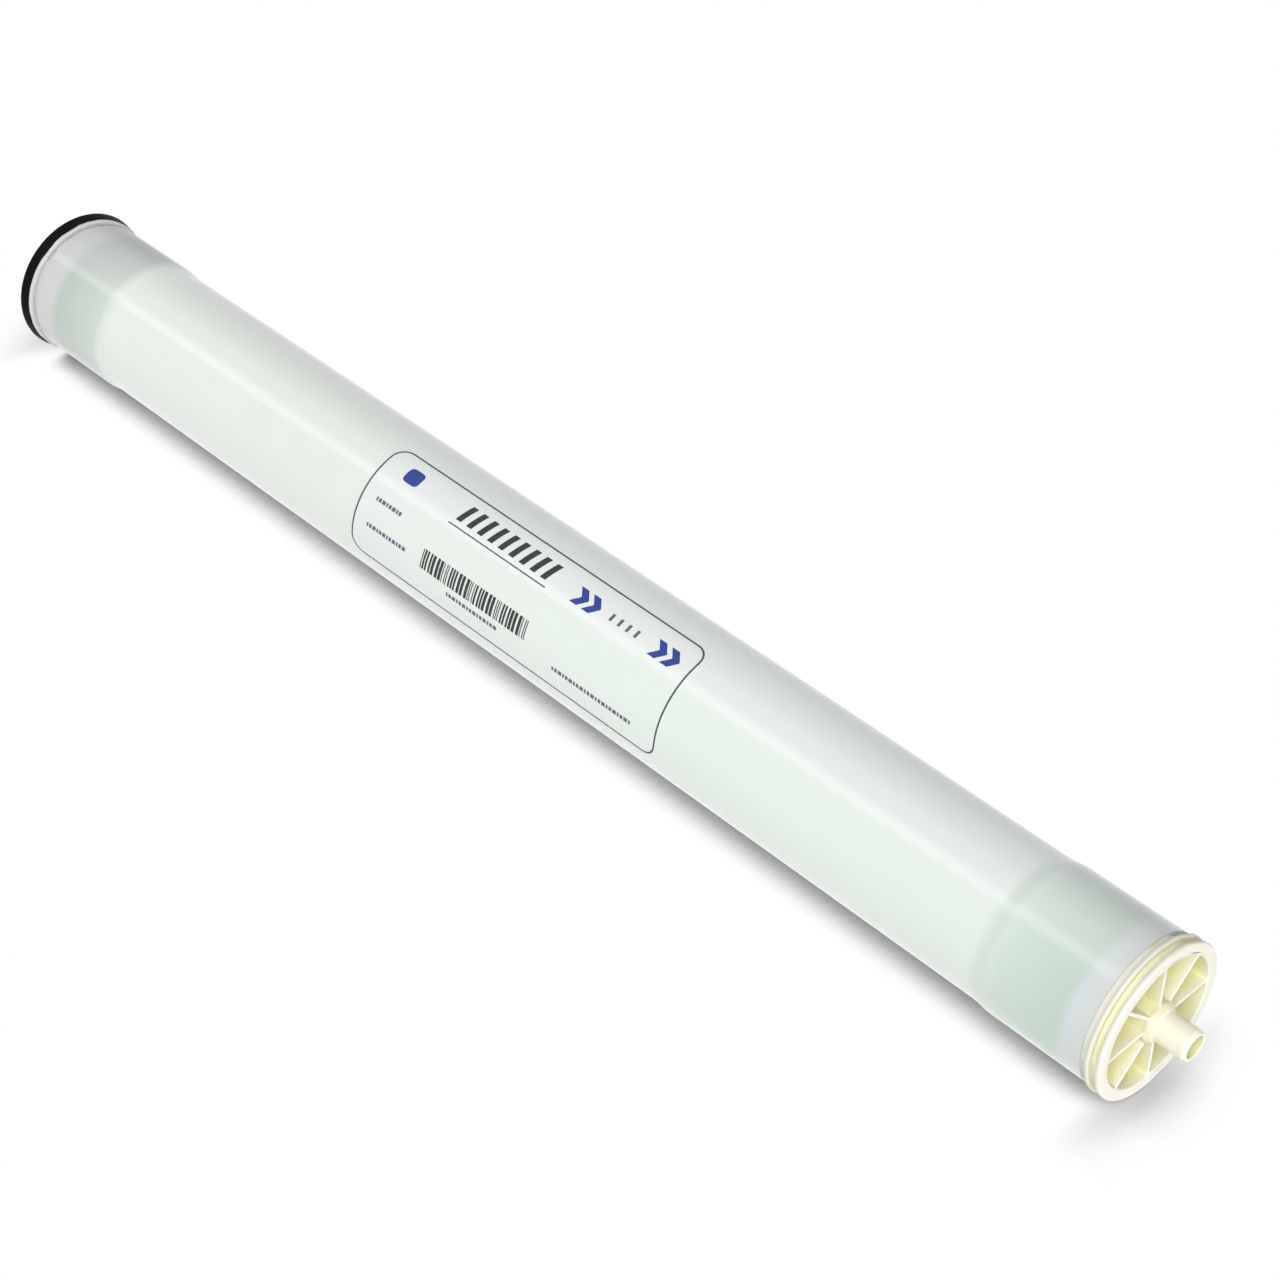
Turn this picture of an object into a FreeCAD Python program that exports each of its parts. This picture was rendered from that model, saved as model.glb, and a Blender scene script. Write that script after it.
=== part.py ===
import FreeCAD, Part
import math
import os

import Sketcher
from FreeCAD import Placement, Rotation, Vector

# Spiral-wound reverse osmosis membrane element, 4 inches by 40 inches, in millimetres.
# The permeate tube lies along X, its outlet end towards +X, and the feed end carries
# the brine seal towards -X. The origin is on the tube's axis, halfway along it.

SIZES = {
    # permeate tube
    "element_length": 1016,
    "tube_diameter": 20,
    "tube_bore": 14,
    "stub_diameter": 19.05,
    "stub_reach": 24,
    "stub_taper_length": 2.6,
    "stub_taper_depth": 1,
    "bore_chamfer": 0.5,
    "drain_hole_diameter": 3.2,
    "drain_hole_pitch": 300,
    # winding
    "core_wrap_thickness": 0.75,
    "leaf_thickness": 1.25,
    "spacer_thickness": 1.82,
    "layer_clearance": 0.04,
    "wound_quarters": 10,
    "roll_clearance": 0.1,
    "film_thickness": 1,
    # end tapes
    "tape_width": 77.5,
    "tape_edge": 0.2,
    "tape_ramp": 11,
    "tape_build": 1.3,
    # end caps
    "cap_depth": 32,
    "cap_seat_clearance": 0.2,
    "film_overlap": 17.5,
    "ring_wall": 3.75,
    "rim_height": 4.05,
    "rim_width": 3.4,
    "groove_width": 4.2,
    "ridge_width": 2.6,
    "hub_wall": 2.8,
    "boss_height": 2.8,
    "boss_bevel": 1.7,
    "spoke_count": 8,
    "spoke_thickness": 2.3,
    "spoke_recess": 1,
    "spoke_root": 1,
    # brine seal
    "seal_clearance": 0.05,
    "lip_gap": 0.2,
    "lip_rise": 1.5,
    "lip_reach": 3,
    "lip_thickness": 1.1,
    # label
    "label_length": 278,
    "label_offset": 12,
    "label_thickness": 0.15,
    "label_corner": 12,
    # fits between pieces that are slid or wound on each other
    "fit_clearance": 0.05,
}
LABEL_START_DEG = 88
LABEL_SWEEP_DEG = 102
LEAVES = 4
FULL_TURN = 360

doc = FreeCAD.newDocument("membrane_element")

sizes = doc.addObject("Spreadsheet::Sheet", "Sizes")
for row, (alias, value) in enumerate(SIZES.items(), start=1):
    sizes.set(f"A{row}", alias)
    sizes.set(f"B{row}", str(value))
    sizes.setAlias(f"B{row}", alias)
doc.recompute()


def cell(alias):
    return f"Sizes.{alias}"


def value_of(expression):
    return float(sizes.evalExpression(expression))


# Radii, from the tube outwards, and stations along X, from the tip inwards.
TUBE_R = f"({cell('tube_diameter')} / 2)"
BORE_R = f"({cell('tube_bore')} / 2)"
STUB_R = f"({cell('stub_diameter')} / 2)"
CORE_IN_R = f"({TUBE_R} + {cell('fit_clearance')})"
CORE_OUT_R = f"({CORE_IN_R} + {cell('core_wrap_thickness')})"
PACKET = (
    f"({cell('leaf_thickness')} + {cell('spacer_thickness')}"
    f" + 2 * {cell('layer_clearance')})"
)
SPIRAL_R = f"({CORE_OUT_R} + {cell('fit_clearance')} + {PACKET} / 2)"
ROLL_R = f"({SPIRAL_R} + ({cell('wound_quarters')} + 0.5) * {PACKET})"
FILM_IN_R = f"({ROLL_R} + {cell('roll_clearance')})"
FILM_OUT_R = f"({FILM_IN_R} + {cell('film_thickness')})"
SKIRT_R = f"({FILM_IN_R} - {cell('fit_clearance')})"
WINDOW_R = f"({SKIRT_R} - {cell('ring_wall')})"
RIM_R = f"({SKIRT_R} + {cell('rim_height')})"
HUB_BORE_R = f"({TUBE_R} + {cell('fit_clearance')})"
HUB_R = f"({HUB_BORE_R} + {cell('hub_wall')})"

TIP_X = f"({cell('element_length')} / 2)"
FACE_X = f"({TIP_X} - {cell('stub_reach')})"
BOSS_X = f"({FACE_X} + {cell('boss_height')})"
SPOKE_X = f"({FACE_X} - {cell('spoke_recess')})"
GROOVE_FRONT_X = f"({FACE_X} - {cell('rim_width')})"
GROOVE_BACK_X = f"({GROOVE_FRONT_X} - {cell('groove_width')})"
RIDGE_X = f"({GROOVE_BACK_X} - {cell('ridge_width')})"
ROLL_X = f"({FACE_X} - {cell('cap_depth')})"
CAP_BACK_X = f"({ROLL_X} + {cell('cap_seat_clearance')})"
FILM_X = f"({ROLL_X} + {cell('film_overlap')})"


def new_body(label):
    body = doc.addObject("PartDesign::Body", label)
    body.Label = label
    return body


def origin_plane(body, role):
    return next(o for o in body.Origin.OriginFeatures if o.Role == role)


def new_sketch(body, name, role):
    sketch = body.newObject("Sketcher::SketchObject", name)
    sketch.AttachmentSupport = [(origin_plane(body, role), "")]
    sketch.MapMode = "FlatFace"
    return sketch


def outline(sketch, corners):
    """Draws a closed polygon. Each corner is a pair of expressions, and is dimensioned by them."""
    points = [Vector(value_of(x), value_of(y), 0) for x, y in corners]
    count = len(points)
    for i, point in enumerate(points):
        sketch.addGeometry(Part.LineSegment(point, points[(i + 1) % count]), False)
    for i in range(count):
        sketch.addConstraint(Sketcher.Constraint("Coincident", i, 2, (i + 1) % count, 1))
    for i, (x, y) in enumerate(corners):
        for kind, expression in (("DistanceX", x), ("DistanceY", y)):
            distance = value_of(expression)
            index = sketch.addConstraint(Sketcher.Constraint(kind, -1, 1, i, 1, distance))
            sketch.setExpression(f"Constraints[{index}]", expression)


def turned(body, name, corners):
    """Turns a profile, given as pairs of X station and radius, round the tube's axis."""
    sketch = new_sketch(body, f"{name}_section", "XY_Plane")
    outline(sketch, corners)
    turn = body.newObject("PartDesign::Revolution", name)
    turn.Profile = sketch
    turn.ReferenceAxis = (sketch, ["H_Axis"])
    turn.Angle = FULL_TURN
    doc.recompute()
    return turn


def faces_outlet(body):
    body.Placement = Placement()


def faces_feed(body):
    body.Placement = Placement(Vector(), Rotation(Vector(0, 0, 1), 180))


# Permeate tube: one extruded tube, its ends turned down for the couplers' O-rings, with
# a row of small holes drilled crosswise through both walls along the wound length.
def make_permeate_tube():
    body = new_body("permeate_tube")
    taper_x = f"({TIP_X} - {cell('stub_taper_length')})"
    taper_r = f"({STUB_R} - {cell('stub_taper_depth')})"
    bevel_x = f"({TIP_X} - {cell('bore_chamfer')})"
    bevel_r = f"({BORE_R} + {cell('bore_chamfer')})"
    half = [
        (BOSS_X, TUBE_R),
        (BOSS_X, STUB_R),
        (taper_x, STUB_R),
        (TIP_X, taper_r),
        (TIP_X, bevel_r),
        (bevel_x, BORE_R),
    ]
    other_half = [(f"-{x}", r) for x, r in reversed(half)]
    turned(body, "tube", half + other_half)
    drill_row(body)
    return body


def drill_row(body):
    """Drills a row of cross holes, as many as the wound length has room for."""
    holes = int(value_of(f"2 * {ROLL_X} / {cell('drain_hole_pitch')}"))
    first = f"{(1 - holes) / 2} * {cell('drain_hole_pitch')}"
    sketch = new_sketch(body, "drain_hole", "XY_Plane")
    radius = value_of(cell("drain_hole_diameter")) / 2
    sketch.addGeometry(Part.Circle(Vector(value_of(first), 0, 0), Vector(0, 0, 1), radius), False)
    sketch.addConstraint(Sketcher.Constraint("PointOnObject", 0, 3, -1))
    sideways = sketch.addConstraint(
        Sketcher.Constraint("DistanceX", -1, 1, 0, 3, value_of(first))
    )
    sketch.setExpression(f"Constraints[{sideways}]", first)
    across = sketch.addConstraint(Sketcher.Constraint("Diameter", 0, 2 * radius))
    sketch.setExpression(f"Constraints[{across}]", cell("drain_hole_diameter"))
    cut = body.newObject("PartDesign::Pocket", "drain_holes")
    cut.Profile = sketch
    cut.Type = "Length"
    cut.SideType = "Symmetric"
    cut.setExpression("Length", f"2 * {cell('tube_diameter')}")
    row = body.newObject("PartDesign::LinearPattern", "drain_row")
    row.Originals = [cut]
    row.Direction = (sketch, ["H_Axis"])
    row.setExpression("Length", f"{holes - 1} * {cell('drain_hole_pitch')}")
    row.Occurrences = holes
    body.Tip = row
    doc.recompute()


# Core wrap: the first turns of permeate carrier, glued round the tube as a drain.
def make_core_wrap():
    body = new_body("core_wrap")
    turned(
        body,
        "wrap",
        [
            (f"-{ROLL_X}", CORE_IN_R),
            (ROLL_X, CORE_IN_R),
            (ROLL_X, CORE_OUT_R),
            (f"-{ROLL_X}", CORE_OUT_R),
        ],
    )
    return body


# Winding: leaves and feed spacers, wound together as a four-start spiral. Each quarter
# turn is an arc about a corner of a square as wide as one packet, which is one leaf and
# one spacer thick, so that the radius grows by a packet a quarter turn and layers nest.
def spiral_edges(start_radius, packet, quarters):
    """Arcs of one spiral line, quarter turn by quarter turn, from the core outwards."""
    centre = Vector(-packet / 2, packet / 2, 0)
    arcs = []
    for quarter in range(quarters):
        start = quarter * math.pi / 2
        circle = Part.Circle(centre, Vector(0, 0, 1), start_radius + quarter * packet)
        arcs.append(Part.ArcOfCircle(circle, start, start + math.pi / 2))
        end = start + math.pi / 2
        centre = centre - Vector(math.cos(end), math.sin(end), 0) * packet
    return arcs


def wound_sheet(label, leaf_number, inner_offset, thickness):
    """One sheet of the winding, at its offset within the packet, as long as the roll."""
    body = new_body(label)
    sketch = new_sketch(body, "spiral", "YZ_Plane")
    packet = value_of(PACKET)
    quarters = int(value_of(cell("wound_quarters")))
    inner_radius = value_of(f"{SPIRAL_R} + {inner_offset}")
    inner = spiral_edges(inner_radius, packet, quarters)
    outer = spiral_edges(inner_radius + value_of(thickness), packet, quarters)
    for arc in inner + outer:
        sketch.addGeometry(arc, False)
    sketch.addGeometry(Part.LineSegment(inner[0].StartPoint, outer[0].StartPoint), False)
    sketch.addGeometry(Part.LineSegment(inner[-1].EndPoint, outer[-1].EndPoint), False)
    pad = body.newObject("PartDesign::Pad", "sheet")
    pad.Profile = sketch
    pad.SideType = "Symmetric"
    pad.setExpression("Length", f"2 * {ROLL_X}")
    quarter_turn = FULL_TURN / LEAVES
    body.Placement = Placement(Vector(), Rotation(Vector(1, 0, 0), leaf_number * quarter_turn))
    doc.recompute()
    return body


def make_winding():
    leaf = cell("leaf_thickness")
    spacer = cell("spacer_thickness")
    clearance = cell("layer_clearance")
    spacer_offset = f"({leaf} + 1.5 * {clearance})"
    sheets = []
    for number in range(LEAVES):
        sheets.append(wound_sheet(f"membrane_leaf_{number + 1}", number, f"{clearance} / 2", leaf))
        sheets.append(wound_sheet(f"feed_spacer_{number + 1}", number, spacer_offset, spacer))
    return sheets


# Outer wrap: glossy film, wound round the roll and over the skirts of both end caps.
def make_outer_wrap():
    body = new_body("outer_wrap")
    turned(
        body,
        "film",
        [
            (f"-{FILM_X}", FILM_IN_R),
            (FILM_X, FILM_IN_R),
            (FILM_X, FILM_OUT_R),
            (f"-{FILM_X}", FILM_OUT_R),
        ],
    )
    return body


# End tapes: more turns of tape over both ends of the film, built up from a thin edge.
def make_end_tapes():
    body = new_body("end_tapes")
    body.AllowCompound = True
    start_x = f"({FILM_X} - {cell('tape_width')})"
    inner_r = f"({FILM_OUT_R} + {cell('fit_clearance')})"
    tape = turned(
        body,
        "tape",
        [
            (start_x, inner_r),
            (FILM_X, inner_r),
            (FILM_X, f"({inner_r} + {cell('tape_build')})"),
            (f"({start_x} + {cell('tape_ramp')})", f"({inner_r} + {cell('tape_build')})"),
            (start_x, f"({inner_r} + {cell('tape_edge')})"),
        ],
    )
    other_end = body.newObject("PartDesign::Mirrored", "other_end")
    other_end.Originals = [tape]
    other_end.MirrorPlane = (origin_plane(body, "YZ_Plane"), [""])
    body.Tip = other_end
    doc.recompute()
    return body


# End cap: a moulded wheel that keeps the roll from telescoping. Its ring has a skirt
# under the film, a ridge, a groove for a seal and a rim. Flat radial spokes
# run almost the cap's full depth, from the ring to a hub that is bonded round the tube.
def make_end_cap(label, face):
    body = new_body(label)
    turned(
        body,
        "ring",
        [
            (CAP_BACK_X, WINDOW_R),
            (FACE_X, WINDOW_R),
            (FACE_X, RIM_R),
            (GROOVE_FRONT_X, RIM_R),
            (GROOVE_FRONT_X, SKIRT_R),
            (GROOVE_BACK_X, SKIRT_R),
            (GROOVE_BACK_X, RIM_R),
            (RIDGE_X, RIM_R),
            (RIDGE_X, SKIRT_R),
            (CAP_BACK_X, SKIRT_R),
        ],
    )
    add_spokes(body)
    add_hub(body)
    face(body)
    return body


def add_spokes(body):
    """Spokes whose roots are let into the ring's wall and into the hub's."""
    sketch = new_sketch(body, "spoke_section", "YZ_Plane")
    half = f"({cell('spoke_thickness')} / 2)"
    inner = f"({HUB_R} - {cell('spoke_root')})"
    outer = f"({WINDOW_R} + {cell('spoke_root')})"
    outline(sketch, [(inner, f"-{half}"), (outer, f"-{half}"), (outer, half), (inner, half)])
    sketch.setExpression("AttachmentOffset.Base.z", CAP_BACK_X)
    spoke = body.newObject("PartDesign::Pad", "spoke")
    spoke.Profile = sketch
    spoke.setExpression("Length", f"{SPOKE_X} - {CAP_BACK_X}")
    doc.recompute()
    wheel = body.newObject("PartDesign::PolarPattern", "spokes")
    wheel.Originals = [spoke]
    wheel.Axis = (origin_plane(body, "X_Axis"), [""])
    wheel.Angle = FULL_TURN
    wheel.Occurrences = int(value_of(cell("spoke_count")))
    body.Tip = wheel
    doc.recompute()


def add_hub(body):
    bevel_x = f"({BOSS_X} - {cell('boss_bevel')})"
    bevel_r = f"({HUB_R} - {cell('boss_bevel')})"
    turned(
        body,
        "hub",
        [
            (CAP_BACK_X, HUB_BORE_R),
            (BOSS_X, HUB_BORE_R),
            (BOSS_X, bevel_r),
            (bevel_x, HUB_R),
            (CAP_BACK_X, HUB_R),
        ],
    )


# Brine seal: a moulded rubber ring. Its foot fills the feed cap's groove, and its lip
# flares over the rim, open towards the feed, to ride on the vessel's wall.
def make_brine_seal():
    body = new_body("brine_seal")
    clearance = cell("seal_clearance")
    front_x = f"({GROOVE_FRONT_X} - {clearance})"
    back_x = f"({GROOVE_BACK_X} + {clearance})"
    tip_x = f"({GROOVE_FRONT_X} + {cell('lip_reach')})"
    foot_r = f"({SKIRT_R} + {clearance})"
    under_r = f"({RIM_R} + {cell('lip_gap')})"
    lip_r = f"({RIM_R} + {cell('lip_rise')})"
    turned(
        body,
        "seal",
        [
            (back_x, foot_r),
            (front_x, foot_r),
            (front_x, under_r),
            (tip_x, f"({lip_r} - {cell('lip_thickness')})"),
            (tip_x, lip_r),
            (back_x, f"({RIM_R} - {clearance})"),
        ],
    )
    faces_feed(body)
    return body


# Label: one printed sheet, laid round the upper side of the film, with round corners.
# It is where a ring of the sheet's thickness meets a block with rounded upright edges.
def make_label():
    inner_r = f"({FILM_OUT_R} + {cell('fit_clearance')})"
    outer_r = f"({inner_r} + {cell('label_thickness')})"
    outside = label_cylinder("label_outside", outer_r)
    inside = label_cylinder("label_inside", inner_r)
    ring = doc.addObject("Part::Cut", "label_ring")
    ring.Base = outside
    ring.Tool = inside
    label = doc.addObject("Part::Common", "label")
    label.Label = "label"
    label.Base = ring
    label.Tool = label_block(outer_r)
    doc.recompute()
    return label


def label_cylinder(name, radius):
    cylinder = doc.addObject("Part::Cylinder", name)
    cylinder.setExpression("Radius", radius)
    cylinder.setExpression("Height", cell("label_length"))
    low_x = value_of(f"{cell('label_offset')} - {cell('label_length')} / 2")
    cylinder.Placement = Placement(Vector(low_x, 0, 0), Rotation(Vector(0, 1, 0), 90))
    return cylinder


def label_block(outer_r):
    """A block as wide as the label's chord, leaning to the label's middle."""
    half_sweep = LABEL_SWEEP_DEG / 2
    block = doc.addObject("Part::Box", "label_block")
    block.setExpression("Length", cell("label_length"))
    block.setExpression("Width", f"2 * {outer_r} * sin({half_sweep} deg)")
    block.setExpression("Height", f"2 * {outer_r}")
    lean = Rotation(Vector(1, 0, 0), LABEL_START_DEG + half_sweep - 90)
    low_x = value_of(f"{cell('label_offset')} - {cell('label_length')} / 2")
    half_width = value_of(f"{outer_r} * sin({half_sweep} deg)")
    block.Placement = Placement(lean.multVec(Vector(low_x, -half_width, 0)), lean)
    doc.recompute()
    rounded = doc.addObject("Part::Fillet", "label_corners")
    rounded.Base = block
    radius = value_of(cell("label_corner"))
    height = block.Height.Value
    rounded.Edges = [
        (number, radius, radius)
        for number, edge in enumerate(block.Shape.Edges, start=1)
        if math.isclose(edge.Length, height, abs_tol=0.001)
    ]
    return rounded


pieces = [
    make_permeate_tube(),
    make_core_wrap(),
    *make_winding(),
    make_outer_wrap(),
    make_end_tapes(),
    make_end_cap("feed_end_cap", faces_feed),
    make_end_cap("outlet_end_cap", faces_outlet),
    make_brine_seal(),
    make_label(),
]
doc.recompute()

for item in doc.Objects:
    if "Invalid" in item.State or "Error" in item.State:
        raise RuntimeError(f"{item.Label} failed: {item.State}")
for piece in pieces:
    if piece.Shape.isNull() or not piece.Shape.isValid():
        raise RuntimeError(f"{piece.Label} has no valid shape")

os.makedirs("parts", exist_ok=True)
for piece in pieces:
    piece.Shape.exportStep(f"parts/{piece.Label}.step")
    box = piece.Shape.BoundBox
    print(f"{piece.Label}: {piece.Shape.Volume:.0f} mm3, x {box.XMin:.2f} to {box.XMax:.2f}")
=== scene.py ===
import math

import bpy
from mathutils import Matrix, Vector


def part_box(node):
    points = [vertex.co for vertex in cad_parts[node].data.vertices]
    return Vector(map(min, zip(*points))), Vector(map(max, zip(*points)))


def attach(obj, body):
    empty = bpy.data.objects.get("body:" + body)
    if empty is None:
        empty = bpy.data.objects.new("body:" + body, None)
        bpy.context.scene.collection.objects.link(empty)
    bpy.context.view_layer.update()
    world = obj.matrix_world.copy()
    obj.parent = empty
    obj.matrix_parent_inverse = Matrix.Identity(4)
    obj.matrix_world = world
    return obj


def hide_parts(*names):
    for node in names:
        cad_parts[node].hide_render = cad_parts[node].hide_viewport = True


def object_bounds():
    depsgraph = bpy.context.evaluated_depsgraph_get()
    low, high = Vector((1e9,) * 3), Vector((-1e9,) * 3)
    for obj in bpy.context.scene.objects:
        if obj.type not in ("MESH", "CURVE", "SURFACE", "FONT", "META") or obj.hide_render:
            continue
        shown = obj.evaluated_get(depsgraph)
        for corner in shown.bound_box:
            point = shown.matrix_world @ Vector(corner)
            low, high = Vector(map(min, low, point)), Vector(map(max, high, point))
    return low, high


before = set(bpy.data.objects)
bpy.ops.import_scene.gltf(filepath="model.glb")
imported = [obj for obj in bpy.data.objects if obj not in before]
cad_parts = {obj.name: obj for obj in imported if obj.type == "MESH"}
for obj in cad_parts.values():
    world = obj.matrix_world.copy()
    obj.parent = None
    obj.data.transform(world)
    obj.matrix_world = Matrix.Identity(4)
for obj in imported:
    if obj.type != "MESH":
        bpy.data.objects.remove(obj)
cad_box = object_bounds()


# Camera: a product shot from above the outlet end, looking down the length of the element
# towards its feed end, so that the near cap shows its face.
CAMERA_PLACE = (1.0167, -0.8920, 1.1394)
CAMERA_AIM = (0.0823, 0.0069, 0.0114)
CAMERA_LENS = 80.28
CAMERA_SENSOR = 36
CAMERA_CLIP = 50


def looking(name, data, place, aim):
    """Puts a camera or a lamp at a place, turned to a point that it aims at."""
    made = bpy.data.objects.new(name, data)
    bpy.context.scene.collection.objects.link(made)
    made.location = place
    made.rotation_mode = "QUATERNION"
    made.rotation_quaternion = (Vector(aim) - Vector(place)).to_track_quat("-Z", "Y")
    return made


camera_data = bpy.data.cameras.new("camera")
camera_data.lens = CAMERA_LENS
camera_data.sensor_width = CAMERA_SENSOR
camera_data.clip_end = CAMERA_CLIP
bpy.context.scene.camera = looking("camera", camera_data, CAMERA_PLACE, CAMERA_AIM)
bpy.context.scene.view_settings.view_transform = "Standard"


# Room: a white table top that runs out of sight, under a pale dome. The eye sees it pure white,
# and darker only where the element keeps the dome's light from it. Reflections in the element
# see it pure white all over.
FLOOR_HALF = 6
FLOOR_WHITE = (0.93, 0.93, 0.93, 1)
SHADOW_SAMPLES = 16
SHADOW_REACH = 0.6
SHADOW_FADE = 2.44
FEED_END_STATIONS = (-0.45, -0.51)
FEED_END_FADE = 1.17
OUTLET_END_STATIONS = (0.465, 0.49)
OUTLET_END_REACH = 0.05
OUTLET_END_FADE = 1.07
SEEN_WHITE = (1, 1, 1, 1)
DOME_COLOUR = (0.94, 0.97, 1.0, 1)
DOME_LEVEL = 0.14
SHARP_ANGLE = math.radians(30)


class Socket:
    """An output of a node tree. Sums on it add Math nodes, and node() adds any other node."""

    def __init__(self, tree, output=None):
        self.tree = tree
        self.output = output

    def node(self, kind, settings=None, inputs=None, output=0):
        """Adds a node with these settings and inputs. Stops are the places on a colour ramp."""
        made = self.tree.nodes.new(kind)
        for name, value in (settings or {}).items():
            if name == "stops":
                ramp = made.color_ramp.elements
                while len(ramp) < len(value):
                    ramp.new(1)
                for stop, (place, colour) in zip(ramp, value):
                    stop.position = place
                    stop.color = colour
            else:
                setattr(made, name, value)
        for name, value in (inputs or {}).items():
            if isinstance(value, Socket):
                self.tree.links.new(value.output, made.inputs[name])
            else:
                made.inputs[name].default_value = value
        return Socket(self.tree, made.outputs[output] if made.outputs else None)

    def maths(self, operation, *values):
        """Adds a Math node over these values."""
        return self.node("ShaderNodeMath", {"operation": operation}, dict(enumerate(values)))

    def __add__(self, other):
        return self.maths("ADD", self, other)

    def __radd__(self, other):
        return self.maths("ADD", other, self)

    def __sub__(self, other):
        return self.maths("SUBTRACT", self, other)

    def __rsub__(self, other):
        return self.maths("SUBTRACT", other, self)

    def __mul__(self, other):
        return self.maths("MULTIPLY", self, other)

    def __rmul__(self, other):
        return self.maths("MULTIPLY", other, self)

    def __truediv__(self, other):
        return self.maths("DIVIDE", self, other)

    def __abs__(self):
        return self.maths("ABSOLUTE", self)


def new_tree(material):
    """A material's or a world's empty node tree, as a Socket to add nodes to."""
    material.use_nodes = True
    material.node_tree.nodes.clear()
    return Socket(material.node_tree)


def seen_directly(tree):
    """1 for what the eye sees at once, in a reflection or through glass, 0 for what lights."""
    path = "ShaderNodeLightPath"
    ways = ("Is Camera Ray", "Is Glossy Ray", "Is Transmission Ray")
    camera, glossy, through = (tree.node(path, output=way) for way in ways)
    return camera.maths("MAXIMUM", camera.maths("MAXIMUM", camera, glossy), through)


world = bpy.data.worlds.new("dome")
bpy.context.scene.world = world
sky = new_tree(world)
dome = sky.node("ShaderNodeBackground", inputs={"Color": DOME_COLOUR, "Strength": DOME_LEVEL})
white = sky.node("ShaderNodeBackground", inputs={"Color": SEEN_WHITE, "Strength": 1})
surround = sky.node("ShaderNodeMixShader", inputs={0: seen_directly(sky), 1: dome, 2: white})
sky.node("ShaderNodeOutputWorld", inputs={"Surface": surround})


def new_piece(name, vertices, faces):
    """A mesh object with its place in its vertices, smooth up to its sharp edges."""
    mesh = bpy.data.meshes.new(name)
    mesh.from_pydata(vertices, [], faces)
    mesh.update()
    mesh.shade_smooth()
    mesh.set_sharp_from_angle(angle=SHARP_ANGLE)
    made = bpy.data.objects.new(name, mesh)
    bpy.context.scene.collection.objects.link(made)
    return made


def place_on(tree):
    """The place on the piece, in metres in the element's frame."""
    return tree.node("ShaderNodeTexCoord", output="Object")


def along_axis(tree, place, axis="X"):
    """How far the place lies along one axis, in metres."""
    return tree.node("ShaderNodeSeparateXYZ", inputs={"Vector": place}, output=axis)


def fading(tree, value, start, end):
    """0 at start, 1 at end and beyond, with a smooth change between them."""
    return tree.node(
        "ShaderNodeMapRange",
        {"interpolation_type": "SMOOTHSTEP"},
        {"Value": value, "From Min": start, "From Max": end},
    )


def open_sky(tree, reach):
    """The share of the sky above a place that nothing within this reach covers."""
    settings = {"samples": SHADOW_SAMPLES}
    return tree.node("ShaderNodeAmbientOcclusion", settings, {"Distance": reach}, output="AO")


floor_z = cad_box[0].z
floor = new_piece(
    "floor",
    [(x * FLOOR_HALF, y * FLOOR_HALF, floor_z) for x, y in ((-1, -1), (1, -1), (1, 1), (-1, 1))],
    [(0, 1, 2, 3)],
)
table_top = bpy.data.materials.new("table_top")
floor.data.materials.append(table_top)
table = new_tree(table_top)
matt_white = table.node("ShaderNodeBsdfDiffuse", inputs={"Color": FLOOR_WHITE})
station = along_axis(table, place_on(table))
past_feed_end = fading(table, station, *FEED_END_STATIONS)
past_outlet_end = fading(table, station, *OUTLET_END_STATIONS)
brightness = open_sky(table, SHADOW_REACH) * (
    SHADOW_FADE - past_feed_end * (SHADOW_FADE - FEED_END_FADE)
)
beside = table.maths("MINIMUM", brightness * brightness, 1)
beyond = table.maths("MINIMUM", open_sky(table, OUTLET_END_REACH) * OUTLET_END_FADE, 1)
shadow = 1 - (beside + past_outlet_end * (beyond - beside))
to_eye = table.node("ShaderNodeLightPath", output="Is Camera Ray")
seen_white = table.node(
    "ShaderNodeEmission", inputs={"Color": SEEN_WHITE, "Strength": 1 - shadow * to_eye}
)
table_face = table.node(
    "ShaderNodeMixShader", inputs={0: seen_directly(table), 1: matt_white, 2: seen_white}
)
table.node("ShaderNodeOutputMaterial", inputs={"Surface": table_face})


# Lamps: a soft key light above, a narrow box lamp whose reflection is the bright line along
# the wrap, a wide one beside it that greys the wrap's upper half, and a light on the near end.
LAMP_DISTANCE = 1.65
LAMP_LENGTH = 3.2
LAMP_RUN = (-1, -0.1287, 0)
LAMP_MIDDLE_X = -0.75
LAMP_AIM = (-0.3, 0, 0)


def from_bearing(x, distance, bearing):
    """A point beside the element. The bearing is the angle round it, from +Y up over +Z."""
    turn = math.radians(bearing)
    return (x, distance * math.cos(turn), distance * math.sin(turn))


def soft_light(name, place, spread, strength):
    """A wide, even light that shines from a place on the origin."""
    lamp = bpy.data.lights.new(name, "SUN")
    lamp.angle = math.radians(spread)
    lamp.energy = strength
    looking(name, lamp, place, (0, 0, 0))


def box_lamp(name, bearing, width, power):
    """A long lamp above the element, nearly in line with it, shining down at it."""
    lamp = bpy.data.lights.new(name, "AREA")
    lamp.shape = "RECTANGLE"
    lamp.size = width
    lamp.size_y = LAMP_LENGTH
    lamp.energy = power
    middle = from_bearing(LAMP_MIDDLE_X, LAMP_DISTANCE, bearing)
    made = looking(name, lamp, middle, LAMP_AIM)
    back = (Vector(middle) - Vector(LAMP_AIM)).normalized()
    run = Vector(LAMP_RUN).normalized()
    side = run.cross(back).normalized()
    turn = Matrix((side, run, side.cross(run))).transposed()
    made.rotation_quaternion = turn.to_quaternion()


soft_light("key_light", from_bearing(1.2, 3, 130), spread=40, strength=1.95)
soft_light("end_light", (3, -0.3, 0.25), spread=30, strength=1.8)
box_lamp("narrow_box", bearing=112.5, width=0.42, power=6.4)
box_lamp("wide_box", bearing=85, width=1.16, power=2.6)


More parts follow.
